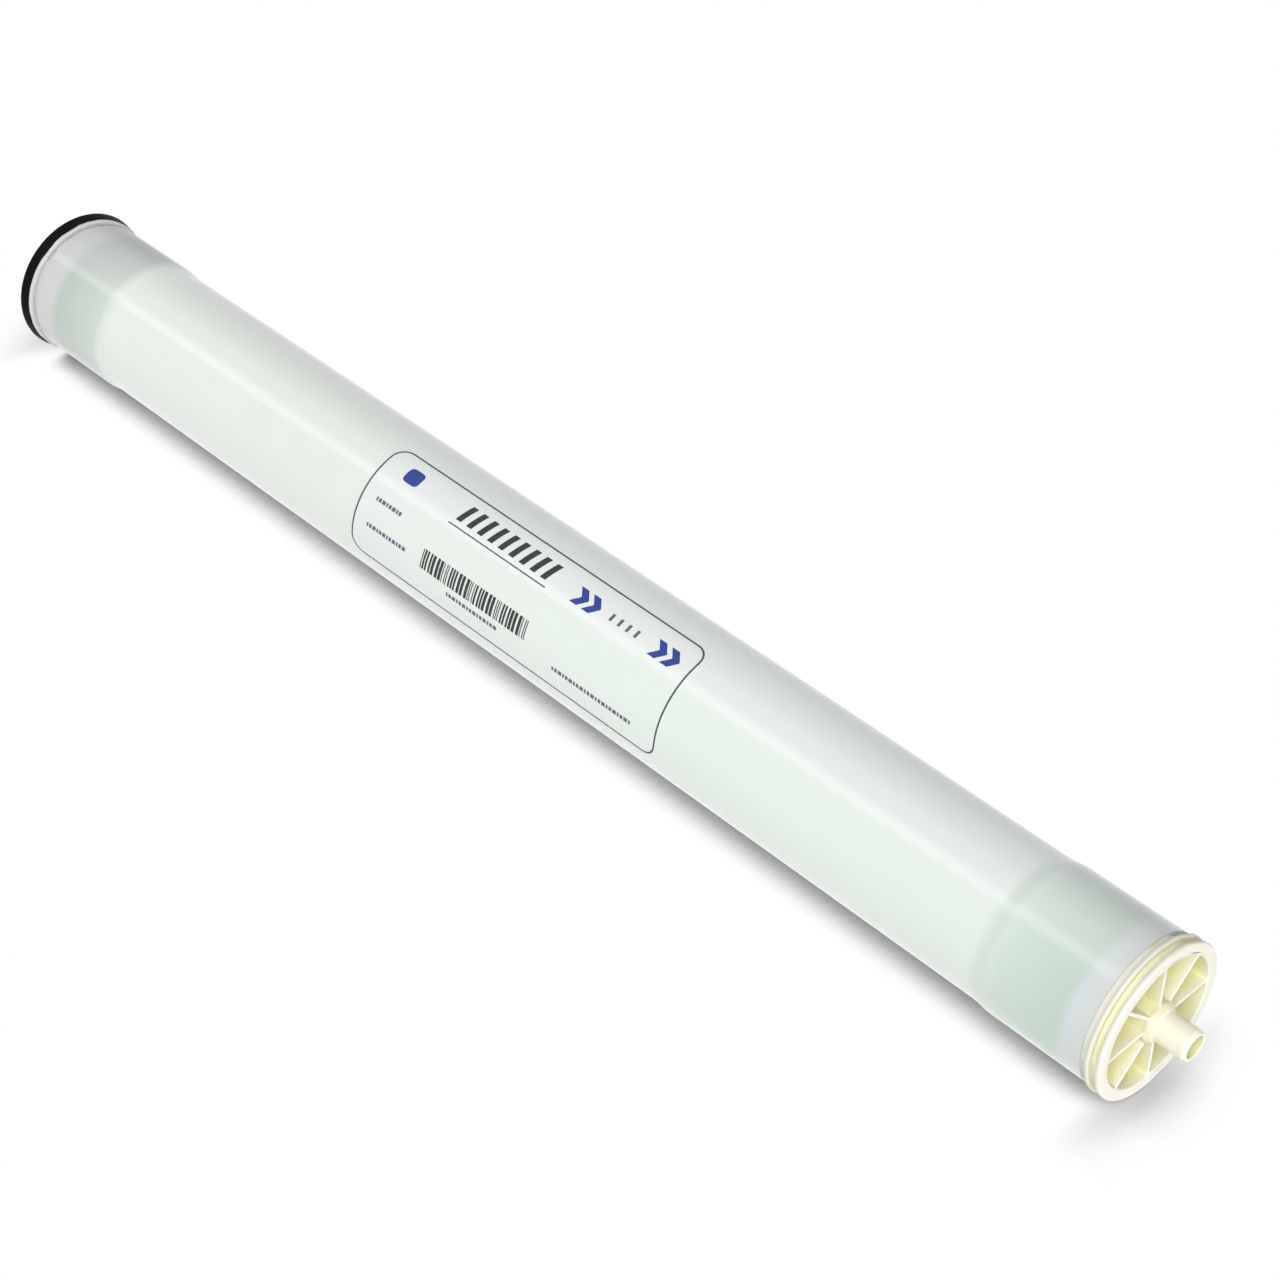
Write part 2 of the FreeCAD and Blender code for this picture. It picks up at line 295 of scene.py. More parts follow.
# Permeate tube: one extruded plastic tube, in cream, with its ends turned down for the
# couplers' O-rings and its mouth bevelled. Small cross holes let the water in under the roll.
MM = 0.001
TUBE_R = 10 * MM
BORE_R = 7 * MM
STUB_R = 9.525 * MM
STUB_TAPER_R = 8.5 * MM
STUB_TAPER_LENGTH = 2.6 * MM
SHOULDER_LENGTH = 0.4 * MM
MOUTH_BEVEL = 0.5 * MM
DRAIN_HOLE_R = 1.6 * MM
DRAIN_HOLES_X = (-300 * MM, 0, 300 * MM)
IN_BORE_RADII = (BORE_R + 0.7 * MM, BORE_R + 0.1 * MM)
TUBE_SIDES = 96
CREAM = (0.97, 0.955, 0.83, 1)
CREAM_SHADE = (0.96, 0.94, 0.77, 1)
# Painted shade inside the bore.
BORE_PAINTED_SHADE = (0.90, 0.88, 0.56, 1)
FULL_TURN = 2 * math.pi


def eased(corners, steps=6):
    """A closed outline with round corners. Each corner is its two places and its rounding."""
    points = []
    for i, (x, r, rounding) in enumerate(corners):
        corner = Vector((x, r))
        if rounding == 0:
            points.append(corner)
            continue
        back = (Vector(corners[i - 1][:2]) - corner).normalized()
        on = (Vector(corners[(i + 1) % len(corners)][:2]) - corner).normalized()
        half = back.angle(on) / 2
        centre = corner + (back + on).normalized() * rounding / math.sin(half)
        start = corner + back * rounding / math.tan(half) - centre
        end = corner + on * rounding / math.tan(half) - centre
        ways = [start.slerp(end, step / steps) for step in range(steps + 1)]
        points += [centre + way * rounding for way in ways]
    return points


def around(sides):
    """Evenly spaced angles of one full turn."""
    return [FULL_TURN * i / sides for i in range(sides)]


def turned(name, outline, angles):
    """A closed outline of stations along X and radii, turned round the element's axis."""
    vertices = []
    for angle in angles:
        c, s = math.cos(angle), math.sin(angle)
        vertices += [(p.x, p.y * c, p.y * s) for p in outline]
    count, sides = len(outline), len(angles)
    faces = []
    for i in range(sides):
        for j in range(count):
            here, on = i * count, (i + 1) % sides * count
            across = (j + 1) % count
            faces.append((here + j, here + across, on + across, on + j))
    return new_piece(name, vertices, faces)


def finish_surface(tree, inputs):
    """Ends a material in one Principled shader with these inputs."""
    shader = tree.node("ShaderNodeBsdfPrincipled", inputs=inputs)
    tree.node("ShaderNodeOutputMaterial", inputs={"Surface": shader})


def blend(tree, factor, under, over):
    """One colour laid over another, as far as factor says."""
    settings = {"data_type": "RGBA"}
    return tree.node("ShaderNodeMix", settings, {0: factor, 6: under, 7: over}, output=2)


def grain(tree, place, scale, detail=3.0, stretch=(1, 1, 1)):
    """Soft noise from 0 to 1, drawn out along the axes by stretch."""
    spread = tree.node("ShaderNodeVectorMath", {"operation": "MULTIPLY"}, {0: place, 1: stretch})
    inputs = {"Vector": spread, "Scale": scale, "Detail": detail}
    return tree.node("ShaderNodeTexNoise", inputs=inputs)


def bumped(tree, height, distance):
    """A normal that rises and falls with height, by this distance in metres."""
    return tree.node("ShaderNodeBump", inputs={"Height": height, "Distance": distance})


def from_axis(tree, place):
    """The distance of the place from the element's axis."""
    flat = tree.node("ShaderNodeVectorMath", {"operation": "MULTIPLY"}, {0: place, 1: (0, 1, 1)})
    return tree.node("ShaderNodeVectorMath", {"operation": "LENGTH"}, {0: flat}, output="Value")


def rods_across(stations, r, reach, sides=32):
    """Upright rods across the element's axis, as the vertices and faces of one mesh."""
    vertices, faces = [], []
    for station in stations:
        first = len(vertices)
        for angle in around(sides):
            x, y = station + r * math.cos(angle), r * math.sin(angle)
            vertices += [(x, y, -reach), (x, y, reach)]
        for i in range(sides):
            here, on = first + 2 * i, first + 2 * ((i + 1) % sides)
            faces.append((here, on, on + 1, here + 1))
        faces.append([first + 2 * i for i in reversed(range(sides))])
        faces.append([first + 2 * i + 1 for i in range(sides)])
    return vertices, faces


cream_plastic = bpy.data.materials.new("cream_plastic")
tree = new_tree(cream_plastic)
place = place_on(tree)
clouds = grain(tree, place, 60)
# Painted shade: deeper yellow inside the bore.
bore_shade = fading(tree, from_axis(tree, place), *IN_BORE_RADII)
finish_surface(
    tree,
    {
        "Base Color": blend(tree, bore_shade, blend(tree, clouds, CREAM_SHADE, CREAM), BORE_PAINTED_SHADE),
        "Roughness": 0.34 + grain(tree, place, 400) * 0.08,
        "Normal": bumped(tree, grain(tree, place, 900, stretch=(8, 1, 1)), 0.00004),
    },
)

tube_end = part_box("permeate_tube")[1].x
boss_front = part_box("outlet_end_cap")[1].x
half_tube = [
    (boss_front, TUBE_R, 0.1 * MM),
    (boss_front + SHOULDER_LENGTH, STUB_R, 0.2 * MM),
    (tube_end - STUB_TAPER_LENGTH, STUB_R, 0.6 * MM),
    (tube_end, STUB_TAPER_R, 0.35 * MM),
    (tube_end, BORE_R + MOUTH_BEVEL, 0.2 * MM),
    (tube_end - MOUTH_BEVEL, BORE_R, 0.2 * MM),
]
other_half = [(-x, r, rounding) for x, r, rounding in reversed(half_tube)]
tube = turned("permeate_tube_finished", eased(half_tube + other_half), around(TUBE_SIDES))
drill = new_piece("drill", *rods_across(DRAIN_HOLES_X, DRAIN_HOLE_R, TUBE_R + 2 * MM))
cut = tube.modifiers.new("drain_holes", "BOOLEAN")
cut.operation = "DIFFERENCE"
cut.solver = "EXACT"
cut.object = drill
cut_tube = tube.evaluated_get(bpy.context.evaluated_depsgraph_get())
drilled = bpy.data.meshes.new_from_object(cut_tube)
tube.modifiers.clear()
tube.data = drilled
bpy.data.objects.remove(drill)
tube.data.materials.clear()
tube.data.materials.append(cream_plastic)
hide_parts("permeate_tube")
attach(tube, "root")


# Core wrap: a few turns of knitted polyester, wound and glued round the tube before the leaves.
# It leads the clean water to the tube's cross holes.
KNIT_LIGHT = (0.86, 0.85, 0.80, 1)
KNIT_DARK = (0.72, 0.70, 0.63, 1)


def cover(node, look):
    """Gives one of the frame's own solids a material."""
    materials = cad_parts[node].data.materials
    materials.clear()
    materials.append(look)


woven = bpy.data.materials.new("knitted_polyester")
tree = new_tree(woven)
place = place_on(tree)
ribs = tree.node(
    "ShaderNodeTexWave",
    {"bands_direction": "X"},
    {"Vector": place, "Scale": 300, "Distortion": 0.4},
)
finish_surface(
    tree,
    {
        "Base Color": blend(tree, ribs, KNIT_DARK, KNIT_LIGHT),
        "Roughness": 0.85,
        "Normal": bumped(tree, ribs, 0.0002),
    },
)
cover("core_wrap", woven)


# Winding: four leaves of coated polyester sheet and four nets of feed spacer, rolled up
# together. Only their ends can be seen, deep in the windows of the caps.
WOUND_SHEETS = 4
LEAF_LIGHT = (0.92, 0.89, 0.62, 1)
LEAF_DARK = (0.86, 0.82, 0.52, 1)
NET_LIGHT = (0.86, 0.84, 0.58, 1)
NET_DARK = (0.66, 0.63, 0.38, 1)


def sheet_material(name, light, dark, scale, roughness):
    """Matt sheet or net with fine threads in a light and a dark shade."""
    material = bpy.data.materials.new(name)
    tree = new_tree(material)
    place = place_on(tree)
    threads = grain(tree, place, scale, detail=2)
    finish_surface(
        tree,
        {
            "Base Color": blend(tree, threads, dark, light),
            "Roughness": roughness + threads * 0.1,
            "Normal": bumped(tree, threads, 0.0002),
        },
    )
    return material


leaf_sheet = sheet_material("membrane_sheet", LEAF_LIGHT, LEAF_DARK, scale=700, roughness=0.5)
spacer_net = sheet_material("spacer_net", NET_LIGHT, NET_DARK, scale=1500, roughness=0.55)
for number in range(1, WOUND_SHEETS + 1):
    cover(f"membrane_leaf_{number}", leaf_sheet)
    cover(f"feed_spacer_{number}", spacer_net)


# End caps: each is one moulding in ivory plastic, a wheel of eight thin spokes between a
# ring and a hub that is bonded round the tube. The ring has a rim, a groove and a ridge,
# and a skirt that goes in under the wrap.
SPOKES = 8
WINDOW_R = 41.8 * MM
HUB_R = 12.85 * MM
HUB_BORE_R = 10.05 * MM
SPOKE_HALF = 1.15 * MM
OUTER_FILLET = 2.2 * MM
INNER_FILLET = 1.2 * MM
EDGE = 0.55 * MM
EDGE_STEPS = 4
FILLET_STEPS = 8
RING_STEPS = 9
SPOKE_STEPS = 20
HUB_STEPS = 5
RING_LINE_R = 43.6 * MM
SPOKE_RECESS = 1.0 * MM
BOSS_HEIGHT = 2.8 * MM
SKIRT_R = 45.55 * MM
RIM_WIDTH = 3.4 * MM
GROOVE_WIDTH = 4.2 * MM
RIDGE_WIDTH = 2.6 * MM
SPOKE_END_RADII = (WINDOW_R - 0.8 * MM, WINDOW_R + 0.9 * MM)
BOSS_SLOPE_RADII = (HUB_BORE_R + 0.3 * MM, HUB_R + 1.3 * MM)
IVORY = (0.875, 0.855, 0.755, 1)
IVORY_SHADE = (0.86, 0.84, 0.73, 1)
# Painted shade: yellow in the windows and groove, warm round the boss, grey on the feed cap's
# ridge.
IVORY_PAINTED_SHADE = (0.95, 0.92, 0.57, 1)
BOSS_PAINTED_SHADE = (0.82, 0.76, 0.54, 1)
FEED_RIDGE_PAINTED_SHADE = (0.60, 0.60, 0.585, 1)

cap_low, cap_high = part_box("outlet_end_cap")
cap_back = cap_low.x
rim_r = cap_high.z
face_x = cap_high.x - BOSS_HEIGHT
groove_front = face_x - RIM_WIDTH
groove_back = groove_front - GROOVE_WIDTH
ridge_back = groove_back - RIDGE_WIDTH


def smooth_step(low, high, value):
    """0 up to low, 1 from high on, with a smooth rise between them."""
    t = min(max((value - low) / (high - low), 0), 1)
    return t * t * (3 - 2 * t)


def cap_front(r):
    """The front of the cap at a radius: the ring's face, the spokes, and the hub's boss."""
    spoke_x = face_x - SPOKE_RECESS
    to_ring = SPOKE_RECESS * smooth_step(*SPOKE_END_RADII, r)
    boss = BOSS_HEIGHT + SPOKE_RECESS
    to_boss = boss * (1 - smooth_step(*BOSS_SLOPE_RADII, r))
    return spoke_x + to_ring + to_boss


def turned_to(angle):
    """The way out from the axis at an angle, one unit long."""
    return Vector((math.cos(angle), math.sin(angle)))


def between(start, end, steps):
    """Values from start up to end, without end."""
    return [start + (end - start) * i / steps for i in range(steps)]


def half_window():
    """Half of a window's edge, from the middle of the ring's side to the middle of the hub's.

    Each point is its place on the window's wall, the way into the plastic from there, and
    the point of the ring's line, the spoke's middle or the hub's bore behind it.
    """
    spoke_turn = math.pi / SPOKES
    spoke = turned_to(spoke_turn)
    to_window = Vector((spoke.y, -spoke.x))
    outer_reach = math.sqrt((WINDOW_R - OUTER_FILLET) ** 2 - (SPOKE_HALF + OUTER_FILLET) ** 2)
    outer_centre = spoke * outer_reach + to_window * (SPOKE_HALF + OUTER_FILLET)
    inner_reach = math.sqrt((HUB_R + INNER_FILLET) ** 2 - (SPOKE_HALF + INNER_FILLET) ** 2)
    inner_centre = spoke * inner_reach + to_window * (SPOKE_HALF + INNER_FILLET)
    outer_turn = math.atan2(outer_centre.y, outer_centre.x)
    inner_turn = math.atan2(inner_centre.y, inner_centre.x)
    points = []
    for angle in between(0, outer_turn, RING_STEPS):
        way = turned_to(angle)
        points.append((way * WINDOW_R, way, way * RING_LINE_R))
    half = FILLET_STEPS // 2
    for i in range(FILLET_STEPS):
        way = turned_to(outer_turn).slerp(-to_window, i / FILLET_STEPS)
        if i < half:
            behind = turned_to(outer_turn + (spoke_turn - outer_turn) * i / half) * RING_LINE_R
        else:
            behind = spoke * (RING_LINE_R + (outer_reach - RING_LINE_R) * (i - half) / half)
        points.append((outer_centre + way * OUTER_FILLET, way, behind))
    for reach in between(outer_reach, inner_reach, SPOKE_STEPS):
        points.append((spoke * reach + to_window * SPOKE_HALF, -to_window, spoke * reach))
    for i in range(FILLET_STEPS):
        way = (-to_window).slerp(-turned_to(inner_turn), i / FILLET_STEPS)
        if i < half:
            behind = spoke * (inner_reach + (HUB_BORE_R - inner_reach) * i / half)
        else:
            angle = spoke_turn + (inner_turn - spoke_turn) * (i - half) / half
            behind = turned_to(angle) * HUB_BORE_R
        points.append((inner_centre + way * INNER_FILLET, way, behind))
    for angle in [*between(inner_turn, 0, HUB_STEPS), 0]:
        way = turned_to(angle)
        points.append((way * HUB_R, -way, way * HUB_BORE_R))
    return points


def skin_line(wall, way, behind):
    """One line of the cap's skin, from its back through a window's wall to its front."""
    shoulder = wall + way * EDGE
    across = behind - wall - way * EDGE
    quarter = [math.pi / 2 * i / EDGE_STEPS for i in range(EDGE_STEPS + 1)]
    line = [(cap_back, shoulder + across * share) for share in (1, 0.6, 0.25)]
    for turn in quarter:
        spot = wall + way * EDGE * (1 - math.sin(turn))
        line.append((cap_back + EDGE * (1 - math.cos(turn)), spot))
    for share in (0.35, 0.7):
        line.append((cap_back + (face_x - cap_back) * share, wall))
    for turn in quarter:
        spot = wall + way * EDGE * (1 - math.cos(turn))
        line.append((cap_front(spot.length) - EDGE * (1 - math.sin(turn)), spot))
    for share in (0.15, 0.3, 0.45, 0.6, 0.8, 1):
        spot = shoulder + across * share
        line.append((cap_front(spot.length), spot))
    return line


def cap_mesh(name):
    """One end cap as a closed mesh: its eight windows, the ring's outside and the bore."""
    half = half_window()
    mirrored = [tuple(Vector((v.x, -v.y)) for v in point) for point in reversed(half[1:-1])]
    edge = half + mirrored
    vertices, faces, seam = [], [], {}

    def vertex(x, y, z):
        key = (round(x * 1e7), round(y * 1e7), round(z * 1e7))
        if key not in seam:
            seam[key] = len(vertices)
            vertices.append((x, y, z))
        return seam[key]

    def skin(columns):
        """Quads between neighbouring columns of vertices, the last joined to the first."""
        for i, column in enumerate(columns):
            following = columns[(i + 1) % len(columns)]
            for j in range(len(column) - 1):
                faces.append((column[j], column[j + 1], following[j + 1], following[j]))

    ring_turns, bore_turns = set(), set()
    for number in range(SPOKES):
        turn = Matrix.Rotation(FULL_TURN * (number + 0.5) / SPOKES, 2)
        columns = []
        for point in edge:
            wall, way, behind = (turn @ v for v in point)
            columns.append([vertex(x, p.x, p.y) for x, p in skin_line(wall, way, behind)])
            angle = round(math.atan2(behind.y, behind.x) % FULL_TURN, 9)
            if math.isclose(behind.length, RING_LINE_R, abs_tol=1e-9):
                ring_turns.add(angle)
            if math.isclose(behind.length, HUB_BORE_R, abs_tol=1e-9):
                bore_turns.add(angle)
        skin(columns)

    outside = eased(
        [
            (face_x, RING_LINE_R, 0),
            (face_x, rim_r, 1.55 * MM),
            (groove_front, rim_r, 1.2 * MM),
            (groove_front, SKIRT_R, 0.5 * MM),
            (groove_back, SKIRT_R, 0.5 * MM),
            (groove_back, rim_r, 0.9 * MM),
            (ridge_back, rim_r, 0.9 * MM),
            (ridge_back, SKIRT_R, 0.4 * MM),
            (cap_back, SKIRT_R, 0.6 * MM),
            (cap_back, RING_LINE_R, 0),
        ]
    )
    skin(
        [
            [vertex(p.x, p.y * math.cos(a), p.y * math.sin(a)) for p in outside]
            for a in sorted(ring_turns)
        ]
    )
    bore = ((cap_back, HUB_BORE_R), (cap_front(HUB_BORE_R), HUB_BORE_R))
    skin(
        [
            [vertex(x, r * math.cos(a), r * math.sin(a)) for x, r in bore]
            for a in sorted(bore_turns)
        ]
    )
    return new_piece(name, vertices, faces)


# Where each painted shade on the ivory fades in, as the depths behind the cap's face or the
# radii: deep in the windows and the groove, round the hub's boss, and over the feed cap's ridge.
WINDOW_DEPTHS = (SPOKE_RECESS + 0.4 * MM, 7 * MM)
INSIDE_RING = (RING_LINE_R + 1.5 * MM, RING_LINE_R)
OUTSIDE_RING = (RING_LINE_R, RING_LINE_R + 1 * MM)
GROOVE_RADII = (rim_r - 1.2 * MM, rim_r - 2.4 * MM)
GROOVE_FRONT_DEPTHS = (1.6 * MM, 3.2 * MM)
GROOVE_BACK_DEPTHS = (9.5 * MM, 8 * MM)
GROOVE_SHARE = 0.6
RIDGE_DEPTHS = (7.2 * MM, 8 * MM)
BOSS_RADII = (HUB_R + 3 * MM, HUB_R - 1 * MM)
FEED_HALF = (0, -0.1)

ivory_plastic = bpy.data.materials.new("ivory_plastic")
tree = new_tree(ivory_plastic)
place = place_on(tree)
x = along_axis(tree, place)
depth = face_x - abs(x)
radius = from_axis(tree, place)
# Painted shade deep in the windows and in the groove.
window_shade = fading(tree, depth, *WINDOW_DEPTHS) * fading(tree, radius, *INSIDE_RING)
groove_shade = fading(tree, radius, *GROOVE_RADII) * (
    fading(tree, depth, *GROOVE_FRONT_DEPTHS) * fading(tree, depth, *GROOVE_BACK_DEPTHS)
)
# Painted shade over the feed cap's ridge and the skirt behind it.
feed_ridge_shade = fading(tree, depth, *RIDGE_DEPTHS) * fading(tree, x, *FEED_HALF)
feed_ridge_shade = feed_ridge_shade * fading(tree, radius, *OUTSIDE_RING)
ivory = blend(tree, grain(tree, place, 90), IVORY_SHADE, IVORY)
# Painted shade round the hub's boss.
ivory = blend(tree, fading(tree, radius, *BOSS_RADII), ivory, BOSS_PAINTED_SHADE)
ivory = blend(tree, tree.maths("MAXIMUM", window_shade, groove_shade * GROOVE_SHARE), ivory, IVORY_PAINTED_SHADE)
finish_surface(
    tree,
    {
        "Base Color": blend(tree, feed_ridge_shade, ivory, FEED_RIDGE_PAINTED_SHADE),
        "Roughness": 0.36 + grain(tree, place, 300) * 0.1,
        "Normal": bumped(tree, grain(tree, place, 1500), 0.00003),
    },
)

outlet_cap = cap_mesh("outlet_cap_moulding")
feed_cap = cap_mesh("feed_cap_moulding")
feed_cap.data.transform(Matrix.Rotation(math.pi, 4, "Z"))
for cap, node in ((outlet_cap, "outlet_end_cap"), (feed_cap, "feed_end_cap")):
    cap.data.materials.append(ivory_plastic)
    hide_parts(node)
    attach(cap, "root")


# Outer wrap: glossy film wound tightly round the roll and over both caps' skirts, which holds
# the roll closed. The roll's green shows through it. Its top is whiter with painted sheen, its
# underside lighter with painted light from the table, and its far side darker with painted shade.
WRAP_SIDES = 192
WRAP_RINGS = 150
FILM_THICKNESS = 1.0 * MM
FILM_ROUGHNESS = 0.34
GLOSS_ROUGHNESS = 0.14
FILM_GREEN = (0.775, 0.88, 0.795, 1)
FILM_PALE = (0.77, 0.81, 0.76, 1)
# Painted light: sheen on the film's top, table light underneath, and shade on its far side.
FILM_PAINTED_SHEEN = (0.835, 0.87, 0.85, 1)
FILM_HAZE = (0.815, 0.845, 0.80, 1)
FILM_SHEEN = 0.35
FILM_PAINTED_TABLE_LIGHT = (0.92, 0.95, 0.93, 1)
FILM_PAINTED_SHADE = (0.55, 0.565, 0.60, 1)
BACK_SHADE_SHARE = 0.55
BACK_SHADE_LOSS = 0.3
TOWARDS_OUTLET = (-0.25, 0.25)

# Limits across the roll, in radii of its skin: Y for the first three, Z for the last.
CROWN_FRONT = (-0.8, -0.25)
CROWN_BACK = (0.6, 0.1)
FAR_FLANK = (0.25, 0.75)
UNDERSIDE = (-0.3, -0.65)

wrap_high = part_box("outer_wrap")[1]
wrap_half = wrap_high.x
wrap_r = wrap_high.z


def wrap_outline():
    """The film's section: its skin from the feed end to the outlet end, then its underside."""
    stations = [-wrap_half + 2 * wrap_half * i / WRAP_RINGS for i in range(WRAP_RINGS + 1)]
    inner_r = wrap_r - FILM_THICKNESS
    inner = [Vector((wrap_half, inner_r)), Vector((-wrap_half, inner_r))]
    return [Vector((x, wrap_r)) for x in stations] + inner


def across_roll(tree, place, axis, start, end):
    """0 at start, 1 at end and beyond. Both lie along Y or Z, in radii of the roll."""
    return fading(tree, along_axis(tree, place, axis), start * wrap_r, end * wrap_r)


def crown(tree, place):
    """1 along the top of the roll, 0 on its front side and on its back."""
    from_front = across_roll(tree, place, "Y", *CROWN_FRONT)
    return from_front * across_roll(tree, place, "Y", *CROWN_BACK)


def film_colour(tree, place):
    """The film's colour: greener on the outlet half's sides; painted sheen, table light and
    shade.
    """
    outlet_half = fading(tree, along_axis(tree, place), *TOWARDS_OUTLET)
    # Painted sheen along the top.
    green_and_sheen = blend(tree, crown(tree, place), FILM_GREEN, FILM_PAINTED_SHEEN)
    film = blend(tree, outlet_half, FILM_PALE, green_and_sheen)
    # Painted light from the table on the underside.
    film = blend(tree, across_roll(tree, place, "Z", *UNDERSIDE), film, FILM_PAINTED_TABLE_LIGHT)
    # Painted shade on the far side, weaker on the outlet half.
    far_shade = across_roll(tree, place, "Y", *FAR_FLANK) * (BACK_SHADE_SHARE - outlet_half * BACK_SHADE_LOSS)
    return blend(tree, far_shade, film, FILM_PAINTED_SHADE)


def finish_film(tree, place, colour, coat=1.0):
    """Ends a material in glossy film of this colour, which lies in slow waves."""
    finish_surface(
        tree,
        {
            "Base Color": colour,
            "Roughness": FILM_ROUGHNESS,
            "Specular IOR Level": FILM_SHEEN,
            "Normal": bumped(tree, grain(tree, place, 45, stretch=(0.3, 1, 1)), 0.0002),
            "Coat Weight": coat,
            "Coat Roughness": GLOSS_ROUGHNESS,
        },
    )


glossy_film = bpy.data.materials.new("glossy_film")
tree = new_tree(glossy_film)
place = place_on(tree)
turns = grain(tree, place, 35, stretch=(1, 0.12, 0.12))
finish_film(tree, place, blend(tree, turns * 0.5, film_colour(tree, place), FILM_HAZE))
wrap = turned("wrap_film", wrap_outline(), around(WRAP_SIDES))
wrap.data.materials.append(glossy_film)
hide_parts("outer_wrap")
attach(wrap, "root")


# End tapes: more turns of film tape over both ends, built up from a thin edge, which look
# green where they lie on the roll and white where the cap's skirt is under them. Painted light
# lies over them: a painted sheen on the outlet tape's top, a painted grey reflection on the feed
# tape's top, painted shade on their far sides and under the feed tape, and painted light from
# the table under the outlet tape.
TAPE_SIDES = 192
TAPE_LENGTH = 77.5 * MM
TAPE_RAMP = 11 * MM
TAPE_RAMP_STEPS = 12
TAPE_STEP = 0.12 * MM
TAPE_EDGE_LENGTH = 0.4 * MM
TAPE_EDGE_DROP = 0.3 * MM
TAPE_WANDER = 0.012
CLEARANCE = 0.05 * MM
TAPE_ONSET = (0.0, 0.22)
NEAR_HALF = (-0.1, 0.1)
TAPE_FLANK = (0.0, 0.5)
TAPE_LOW_SIDE = (0.0, -0.3)
NEAR_TAPE = (
    (0.0, (0.76, 0.85, 0.785, 1)),
    (0.25, (0.645, 0.76, 0.67, 1)),
    (0.76, (0.55, 0.675, 0.575, 1)),
    (0.84, (0.67, 0.725, 0.735, 1)),
    (1.0, (0.70, 0.735, 0.70, 1)),
)
# Painted sheen on the outlet tape's top.
NEAR_PAINTED_SHEEN = (0.78, 0.82, 0.81, 1)
FAR_TAPE = (
    (0.0, (0.76, 0.80, 0.75, 1)),
    (0.14, (0.58, 0.66, 0.59, 1)),
    (0.70, (0.47, 0.54, 0.48, 1)),
    (0.78, (0.61, 0.61, 0.61, 1)),
    (1.0, (0.60, 0.60, 0.605, 1)),
)
# Painted grey reflection on the feed tape's top, and painted shade on both tapes' far sides.
FAR_PAINTED_REFLECTION = (0.57, 0.58, 0.59, 1)
TAPE_PAINTED_SHADE = (0.34, 0.37, 0.36, 1)

tape_base_r = wrap_r + CLEARANCE
tape_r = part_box("end_tapes")[1].z
tape_inner_x = wrap_half - TAPE_LENGTH


def tape_colour(tree, along_tape, stops, painted_tones):
    """One end's tape colour, from its thin edge to the cap, under painted light and shade."""
    colour = tree.node("ShaderNodeValToRGB", {"stops": stops}, {"Fac": along_tape})
    for share, painted_tone in painted_tones:
        colour = blend(tree, share, colour, painted_tone)
    return colour


tape_look = bpy.data.materials.new("glossy_tape")
tree = new_tree(tape_look)
place = place_on(tree)
x = along_axis(tree, place)
near_end = fading(tree, x, *NEAR_HALF)
uneven = abs(x) + (grain(tree, place, 16) - 0.5) * TAPE_WANDER
along_tape = (uneven - tape_inner_x) / (wrap_half - tape_inner_x)
onset = fading(tree, along_tape, *TAPE_ONSET)
# Where painted light and shade lie: on the top, on the far side and on the underside.
top = crown(tree, place) * onset
back = across_roll(tree, place, "Y", *TAPE_FLANK) * onset
low = across_roll(tree, place, "Z", *TAPE_LOW_SIDE) * onset
near_painted_tones = ((top * 0.35, NEAR_PAINTED_SHEEN), (back * 0.25, TAPE_PAINTED_SHADE))
far_painted_tones = ((top * 0.45, FAR_PAINTED_REFLECTION), (back * 0.6, TAPE_PAINTED_SHADE), (low * 0.45, TAPE_PAINTED_SHADE))
near_tape = tape_colour(tree, along_tape, NEAR_TAPE, near_painted_tones)
far_tape = tape_colour(tree, along_tape, FAR_TAPE, far_painted_tones)
both_tapes = blend(tree, near_end, far_tape, near_tape)
# Painted light from the table under the outlet tape.
near_table_light = across_roll(tree, place, "Z", *UNDERSIDE) * near_end
finish_film(
    tree,
    place,
    blend(tree, near_table_light * 0.5, both_tapes, FILM_PAINTED_TABLE_LIGHT),
    coat=1.0 - back * (1.0 - near_end) * 0.6,
)


def tape_outline():
    """The tape's section: a slow rise from its thin edge, its skin, its end and its underside."""
    thin_r = tape_base_r + TAPE_STEP
    rise = tape_r - tape_base_r - TAPE_STEP
    ramp = []
    for i in range(TAPE_RAMP_STEPS + 1):
        share = smooth_step(0, 1, i / TAPE_RAMP_STEPS)
        ramp.append((tape_inner_x + TAPE_RAMP * i / TAPE_RAMP_STEPS, thin_r + rise * share))
    end = [
        (wrap_half - TAPE_EDGE_LENGTH, tape_r),
        (wrap_half, tape_r - TAPE_EDGE_DROP),
        (wrap_half, tape_base_r),
        (tape_inner_x, tape_base_r),
    ]
    return [Vector(corner) for corner in ramp + end]


for name, turn in (("outlet_end_tape", 0), ("feed_end_tape", math.pi)):
    tape = turned(name, tape_outline(), around(TAPE_SIDES))
    tape.data.transform(Matrix.Rotation(turn, 4, "Z"))
    tape.data.materials.append(tape_look)
    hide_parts("end_tapes")
    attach(tape, "root")


# Brine seal: a moulded ring of black rubber in the feed cap's groove, with a lip that
# flares out over the rim.
SEAL_SIDES = 192
SEAL_BLACK = (0.004, 0.004, 0.0045, 1)
SEAL_BLOOM = (0.008, 0.008, 0.009, 1)
LIP_THICKNESS = 1.1 * MM
LIP_FOOT_HEIGHT = 0.2 * MM
seal_low, seal_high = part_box("brine_seal")
seal_r = seal_high.z
seal_back = seal_high.x
seal_tip = seal_low.x
seal_front = -groove_front + CLEARANCE

